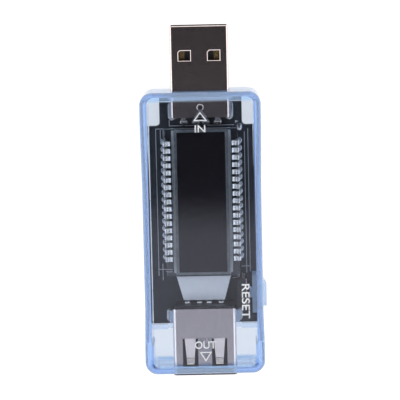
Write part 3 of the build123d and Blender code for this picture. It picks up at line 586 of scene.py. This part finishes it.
def pads_underneath():
    """Tinned rings round the solder joints on the other side."""
    pads = bmesh.new()
    for x, y, radius, straight in PADS:
        border = radius + PAD_BORDER
        outline = oval(x, y, border, border + straight)
        hole = oval(x, y, PAD_HOLE, PAD_HOLE + straight)
        add_prism(pads, outline, (BOARD_BOTTOM - PAD_HEIGHT, BOARD_BOTTOM), hole)
    new_piece("pads_underneath", pads, finishes["tinned_copper"])


def board_print():
    """White guide lines and an arrow on the display's side."""
    ink = bmesh.new()
    for line in INK_LINES:
        add_line(ink, line, INK_WIDTH, INK_Z)
    add_prism(ink, INK_ARROW, INK_Z)
    grey = moulded("board_ink", (0.50, 0.52, 0.54), (0.66, 0.68, 0.70), 0.6, 0.05, 0.003)
    new_piece("board_print", ink, grey)


def copper_tracks():
    """Tracks under the solder mask, on both faces of the board."""
    tracks = bmesh.new()
    for i in range(2):
        x = 9.95 + 0.25 * i
        add_line(tracks, [(x, 20.5 - i), (x, -10.0 + i)], SIDE_TRACK_WIDTH, TRACK_TOP_Z)
    for i in range(4):
        y = -10.6 - 0.9 * i
        bend = -7.6 + 0.25 * i
        line = [(-10.2, y), (bend, y), (bend + 0.7, y - 0.7)]
        add_line(tracks, line, CORNER_TRACK_WIDTH, TRACK_TOP_Z)
    for i in range(CONTROLLER_LEADS):
        from_middle = i - (CONTROLLER_LEADS - 1) / 2
        lead_y = CONTROLLER_MIDDLE_Y + from_middle * CONTROLLER_PITCH
        pin_y = PIN_ROWS[i + 4]
        bend = 6.4 - 0.09 * abs(from_middle)
        for side in (-1, 1):
            line = [(7.0, pin_y), (bend, pin_y), (5.0, lead_y), (4.4, lead_y)]
            mirrored = [(side * x, y) for x, y in line]
            add_line(tracks, mirrored, SIGNAL_TRACK_WIDTH, TRACK_LOW_Z)
    for i in range(5):
        x = -8.9 + i * 0.45
        turn = 1.5 + 0.5 * i
        line = [(x, -11.2 - 0.4 * i), (x, turn), (x + 1.1, turn + 1.1)]
        add_line(tracks, line, SIGNAL_TRACK_WIDTH, TRACK_LOW_Z)
    for x in (TAIL_X[0], TAIL_X[-1]):
        for y in ((-14.0, -10.9), (22.0, 19.9)):
            add_line(tracks, [(x, y[0]), (x, y[1])], POWER_TRACK_WIDTH, TRACK_LOW_Z)
    mask = moulded("mask_over_copper", (0.026, 0.029, 0.036), (0.034, 0.038, 0.046), 0.36)
    new_piece("copper_tracks", tracks, mask)


# ---- the small parts under the board, and the display -------------------------------------

END_SKIN = 0.02
END_SHARE = 0.2
END_FOOT = 0.32
END_CROWN = 0.05
END_NARROWING = 0.06
BOARD_CLEARANCE = 0.002
DOT_RADIUS = 0.3
DOT_Z = (-0.004, 0.01)
SEAL_CLEARANCE = 0.003
SEAL_INSET = 0.08


def add_metal_end(bm, low, high, along, sign):
    """Plated cap and solder wedge at one end of a two-ended part that lies along an axis."""

    def plan(run, across):
        return rectangle(run, across) if along == 0 else rectangle(across, run)

    end = low[along] if sign < 0 else high[along]
    depth = END_SHARE * (high[along] - low[along])
    across = (low[1 - along] - END_SKIN, high[1 - along] + END_SKIN)
    narrower = (across[0] + END_NARROWING, across[1] - END_NARROWING)
    base = high[2] - BOARD_CLEARANCE
    cap = sorted((end + sign * END_SKIN, end - sign * depth))
    foot = sorted((end, end + sign * END_FOOT))
    crown = sorted((end, end + sign * END_CROWN))
    add_prism(bm, plan(cap, across), (low[2] - END_SKIN, base))
    add_loops(bm, [(plan(foot, across), base), (plan(crown, narrower), (low[2] + high[2]) / 2)])


def metal_ends():
    """Metal ends of the capacitors and resistors."""
    ends = bmesh.new()
    for node in ("ceramic_capacitors", "chip_resistors", "shunt_resistor"):
        for low, high in solids_of(node):
            along = 0 if high[0] - low[0] > high[1] - low[1] else 1
            for sign in (-1, 1):
                add_metal_end(ends, low, high, along, sign)
    new_piece("metal_ends", ends, finishes["solder"])


def first_lead_dots():
    """A dot moulded by the first lead of each chip."""
    dots = bmesh.new()
    for node, inset in (("controller_chip", 0.9), ("memory_chip", 0.6)):
        low, high = corners(node)
        outline = oval(low.x + inset, high.y - inset, DOT_RADIUS, DOT_RADIUS)
        add_prism(dots, outline, [low.z + height for height in DOT_Z])
    gloss = moulded("dot_gloss", (0.05, 0.05, 0.05), (0.07, 0.07, 0.07), 0.2)
    new_piece("first_lead_dots", dots, gloss)


def lcd_edge_seal():
    """Resin round the edge of the display, between its two glass plates."""
    front_low, front_high = corners("lcd_front_glass")
    film_low, film_high = corners("lcd_front_polarizer")
    rear_top = corners("lcd_rear_glass")[1].z
    outer = rectangle(
        (front_low.x + SEAL_INSET, front_high.x - SEAL_INSET),
        (front_low.y + SEAL_INSET, front_high.y - SEAL_INSET),
    )
    inner = rectangle((film_low.x, film_high.x), (film_low.y, film_high.y))
    seal = bmesh.new()
    add_prism(seal, outer, (rear_top + SEAL_CLEARANCE, front_low.z - SEAL_CLEARANCE), inner)
    resin = moulded("seal_resin", (0.30, 0.33, 0.37), (0.46, 0.49, 0.54), 0.5, 0.25, 0.01)
    new_piece("lcd_edge_seal", seal, resin)


front_labels()
solder_on_top()
pads_underneath()
board_print()
copper_tracks()
metal_ends()
first_lead_dots()
lcd_edge_seal()


# ---- floor, light and camera --------------------------------------------------------------

# The floor lies just under the case, so that the two faces don't coincide
FLOOR_HALF_SIZE_M = 3.0
FLOOR_Z = -0.03
FLOOR_GLOW = 0.82

WORLD_STRENGTH = 2.7
DARK_CENTRE = math.radians(20)
DARK_EDGE = math.radians(27.8)
BRIGHT_EDGE = math.radians(29.1)
DARK_SHARE = 0.068

CAMERA_YAW = math.radians(0.96)
CAMERA_TILT = math.radians(-8.05)
CAMERA_ROLL = math.radians(-1.24)
CAMERA_TARGET = (-0.46, 6.43, 6.0)
CAMERA_DISTANCE_M = 0.480
CAMERA_LENS = 208.9
CAMERA_SENSOR = 36.0


def make_floor():
    """Pale floor that glows a little, so that the meter throws no shadow on it."""
    span_m = (-FLOOR_HALF_SIZE_M, FLOOR_HALF_SIZE_M)
    corners_m = [(x, y, FLOOR_Z * MM) for x, y in rectangle(span_m, span_m)]
    mesh = bpy.data.meshes.new("floor")
    mesh.from_pydata(corners_m, [], [(0, 1, 2, 3)])
    floor = bpy.data.objects.new("floor", mesh)
    bpy.context.scene.collection.objects.link(floor)
    g = new_graph("pale_floor")
    sockets = {
        "Base Color": g.patches(60.0, (0.29, 0.29, 0.295), (0.31, 0.31, 0.31)),
        "Roughness": 0.9,
        "Emission Color": (1, 1, 1, 1),
        "Emission Strength": FLOOR_GLOW,
    }
    mesh.materials.append(g.finish(sockets))


def make_light():
    """Soft studio light: bright round the sides, grey above, dark where a camera would be."""
    world = bpy.data.worlds.new("studio")
    bpy.context.scene.world = world
    g = Graph(world)
    direction = g.node("TexCoord").outputs["Generated"]
    sides = g.ramp(
        g.axis(direction, 2),
        (0.0, 0.30),
        (0.55, 0.78),
        (0.82, (0.75, 0.75, 0.76)),
        (0.95, (0.206, 0.202, 0.227)),
    )
    centre = (0, math.sin(DARK_CENTRE), math.cos(DARK_CENTRE))
    toward = g.node("VectorMath", {0: direction, 1: centre}, operation="DOT_PRODUCT")
    edge = g.node(
        "MapRange",
        {
            "Value": toward.outputs["Value"],
            "From Min": math.cos(BRIGHT_EDGE),
            "From Max": math.cos(DARK_EDGE),
            "To Min": 1.0,
            "To Max": DARK_SHARE,
        },
        interpolation_type="SMOOTHSTEP",
    )
    strength = g.math("MULTIPLY", edge.outputs[0], WORLD_STRENGTH)
    shade = g.node("Background", {"Color": sides, "Strength": strength})
    g.node("OutputWorld", {"Surface": shade.outputs[0]})


def make_camera():
    """Long lens above the meter, leaning towards one end."""
    turned = Matrix.Rotation(CAMERA_YAW, 3, "Y")
    tilted = Matrix.Rotation(CAMERA_TILT, 3, "X")
    rolled = Matrix.Rotation(CAMERA_ROLL, 3, "Z")
    facing = turned @ tilted @ rolled
    data = bpy.data.cameras.new("camera")
    data.lens = CAMERA_LENS
    data.sensor_width = CAMERA_SENSOR
    data.clip_start = 0.01
    data.clip_end = 20.0
    camera = bpy.data.objects.new("camera", data)
    bpy.context.scene.collection.objects.link(camera)
    place = Vector(CAMERA_TARGET) * MM + facing.col[2] * CAMERA_DISTANCE_M
    camera.matrix_world = Matrix.Translation(place) @ facing.to_4x4()
    bpy.context.scene.camera = camera


make_floor()
make_light()
make_camera()

# Light crosses many clear layers and comes back, so it needs many bounces
scene = bpy.context.scene
scene.view_settings.view_transform = "Standard"
scene.cycles.max_bounces = 32
scene.cycles.transmission_bounces = 32
scene.cycles.transparent_max_bounces = 16

bpy.context.view_layer.update()
